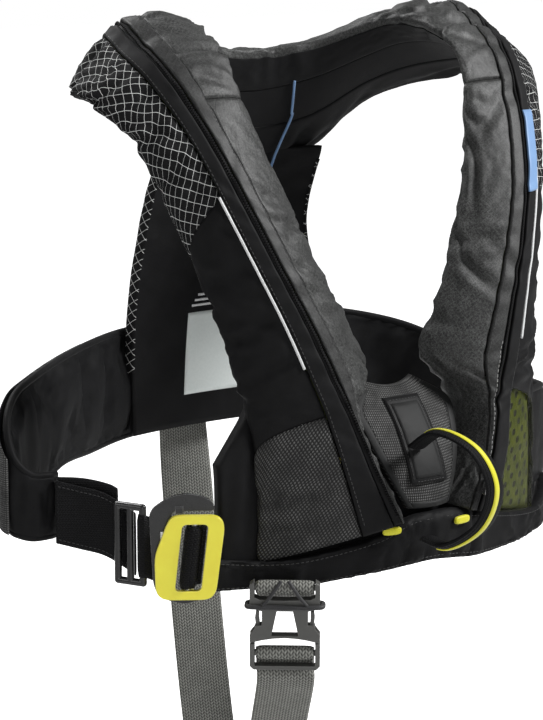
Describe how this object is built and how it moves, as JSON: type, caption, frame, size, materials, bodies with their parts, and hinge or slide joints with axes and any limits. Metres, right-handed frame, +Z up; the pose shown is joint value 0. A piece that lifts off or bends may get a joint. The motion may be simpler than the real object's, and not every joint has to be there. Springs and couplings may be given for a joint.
{
  "type": "inflatable life jacket",
  "caption": "Horseshoe inflatable life jacket with harness, waist belt, metal side buckle and crotch strap; its straps, buckles, zip and inflator controls move.",
  "frame": {"origin": "On the torso's vertical axis, level with the lower edge of the front hem", "axes": "+Z up, -Y the wearer's front, +X the wearer's left"},
  "size_m": [0.4518, 0.3555, 0.6446],
  "materials": {
    "ripstop": "fine ripstop weave, soft sheen",
    "zip_tape": "smooth tape",
    "reflective_mesh": "black with a thin white reflective grid",
    "soft_black": "matt brushed fabric",
    "ribbed_fabric": "fine ribbed weave",
    "label": "smooth coated patch",
    "white_trim": "reflective white",
    "blue_trim": "satin",
    "clear_window": "flexible clear film",
    "bladder_fabric": "coated olive yellow",
    "yellow_trim": "woven yellow",
    "pale_print": "printed pale grey",
    "grey_webbing": "ribbed webbing",
    "black_webbing": "ribbed webbing",
    "black_steel": "gloss black",
    "yellow_metal": "satin yellow",
    "bright_steel": "brushed",
    "grey_plastic": "moulded grey",
    "elastic": "braided shock cord",
    "black_plastic": "moulded black",
    "yellow_plastic": "moulded yellow",
    "black_rubber": "moulded rubber",
    "clear_lamp": "translucent white"
  },
  "bodies": {
    "vest": {"cover_front_right": "ripstop", "cover_front_left": "ripstop", "cover_collar": "ripstop", "zip_flap_inner": "zip_tape", "zip_flap_outer": "zip_tape", "zip_chain": "zip_tape", "side_panel_right": "soft_black", "side_panel_left": "soft_black", "mesh_panel": "reflective_mesh", "piping": "white_trim", "pocket_panel": "ribbed_fabric", "window": "clear_window", "liner": "soft_black", "liner_piping": "blue_trim", "bladder": "bladder_fabric", "centre_panel": "ribbed_fabric", "label_patch": "label", "hem_band": "soft_black", "hem_tabs": "yellow_trim", "front_wing_right": "soft_black", "side_tab": "blue_trim", "harness_webbing": "grey_webbing", "back_panel": "soft_black", "back_mesh": "reflective_mesh", "back_print": "pale_print", "belt_pad": "soft_black", "belt_wing_panel": "ribbed_fabric", "reflective_patch": "white_trim", "webbing_pin": "bright_steel", "front_webbing": "black_webbing", "strap_patch": "label", "inflator_body": "black_plastic", "oral_tube": "black_rubber", "whistle": "yellow_plastic", "rescue_light": "clear_lamp", "lifting_loop": "yellow_trim"},
    "belt_strap": {"belt_webbing": "black_webbing", "belt_keeper": "black_webbing"},
    "side_plate": {"ladder_adjuster": "black_steel", "plate_webbing": "black_webbing", "buckle_plate": "black_steel"},
    "plate_catch": {"buckle_latch": "bright_steel"},
    "side_frame": {"buckle_frame": "yellow_metal"},
    "safety_loop": {"tether_loop": "black_webbing", "tether_stripe": "yellow_trim"},
    "crotch_front": {"crotch_socket": "grey_plastic", "crotch_anchor": "grey_webbing", "crotch_cord": "elastic"},
    "crotch_webbing": {"crotch_plug": "grey_plastic", "crotch_strap": "grey_webbing"},
    "left_prong": {"prong_left": "grey_plastic"},
    "right_prong": {"prong_right": "grey_plastic"},
    "zip_puller": {"zip_slider": "grey_plastic"},
    "pull_cord": {"pull_toggle": "yellow_plastic"},
    "lever": {"pull_lever": "grey_plastic"},
    "striker": {"firing_pin": "bright_steel"},
    "tube_cap": {"oral_cap": "yellow_plastic"},
    "cylinder": {"gas_cylinder": "bright_steel"}
  },
  "joints": [
    {"name": "belt_strap_fold", "type": "hinge", "parent": "vest", "child": "belt_strap", "pos_m": [-0.231, -0.025, 0.075], "axis": [0, 0, 1], "range_deg": [0, 5]},
    {"name": "belt_adjust", "type": "slide", "parent": "belt_strap", "child": "side_plate", "axis": [-0.5, 0.866, 0], "range_m": [0, 0.006]},
    {"name": "plate_catch_press", "type": "slide", "parent": "side_plate", "child": "plate_catch", "axis": [0.521, 0.8536, 0], "range_m": [0, 0.0008]},
    {"name": "side_frame_turn", "type": "hinge", "parent": "vest", "child": "side_frame", "pos_m": [-0.16629, -0.09499, 0.05], "axis": [0.0966, -0.059, 0.9936], "range_deg": [0, 15]},
    {"name": "safety_loop_swing", "type": "hinge", "parent": "vest", "child": "safety_loop", "pos_m": [-0.012, -0.141, 0.081], "axis": [-0.0697, -0.0597, -0.9958], "range_deg": [-15, 35]},
    {"name": "crotch_strap_swing", "type": "hinge", "parent": "vest", "child": "crotch_front", "pos_m": [-0.09552, -0.10349, 0.0125], "axis": [0.267, 0.8999, 0.3448], "range_deg": [-6, 7]},
    {"name": "crotch_buckle_release", "type": "slide", "parent": "crotch_front", "child": "crotch_webbing", "axis": [0, 0, -1], "range_m": [0, 0.022]},
    {"name": "left_prong_squeeze", "type": "hinge", "parent": "crotch_webbing", "child": "left_prong", "pos_m": [-0.09786, -0.14381, -0.0125], "axis": [-0.5878, -0.809, 0], "range_deg": [0, 3], "stiffness_Nm_per_rad": 0.005},
    {"name": "right_prong_squeeze", "type": "hinge", "parent": "crotch_webbing", "child": "right_prong", "pos_m": [-0.13314, -0.11819, -0.0125], "axis": [-0.5878, -0.809, 0], "range_deg": [-3, 0], "stiffness_Nm_per_rad": 0.005},
    {"name": "zip_open", "type": "slide", "parent": "vest", "child": "zip_puller", "axis": [0.351, 0.189, 0.9171], "range_m": [0, 0.025]},
    {"name": "pull_toggle_pull", "type": "slide", "parent": "vest", "child": "pull_cord", "axis": [0, 0, -1], "range_m": [0, 0.02]},
    {"name": "lever_turn", "type": "hinge", "parent": "vest", "child": "lever", "pos_m": [0.09282, -0.10522, 0.06065], "axis": [0.0009, -0.9998, -0.0174], "range_deg": [0, 25]},
    {"name": "striker_lift", "type": "slide", "parent": "vest", "child": "striker", "axis": [-0.0523, -0.0175, 0.9985], "range_m": [0, 0.002]},
    {"name": "tube_cap_lift", "type": "slide", "parent": "vest", "child": "tube_cap", "axis": [0, 0, -1], "range_m": [0, 0.012]},
    {"name": "cylinder_unscrew", "type": "hinge", "parent": "vest", "child": "cylinder", "pos_m": [0.08, -0.1055, 0.076], "axis": [-0.0523, -0.0175, 0.9985], "continuous": true}
  ],
  "couplings": [
    {"joint": "right_prong_squeeze", "follows": "left_prong_squeeze", "ratio": -1},
    {"joint": "lever_turn", "follows": "pull_toggle_pull", "rad_per_m": 21.817},
    {"joint": "striker_lift", "follows": "pull_toggle_pull", "ratio": 0.1}
  ]
}
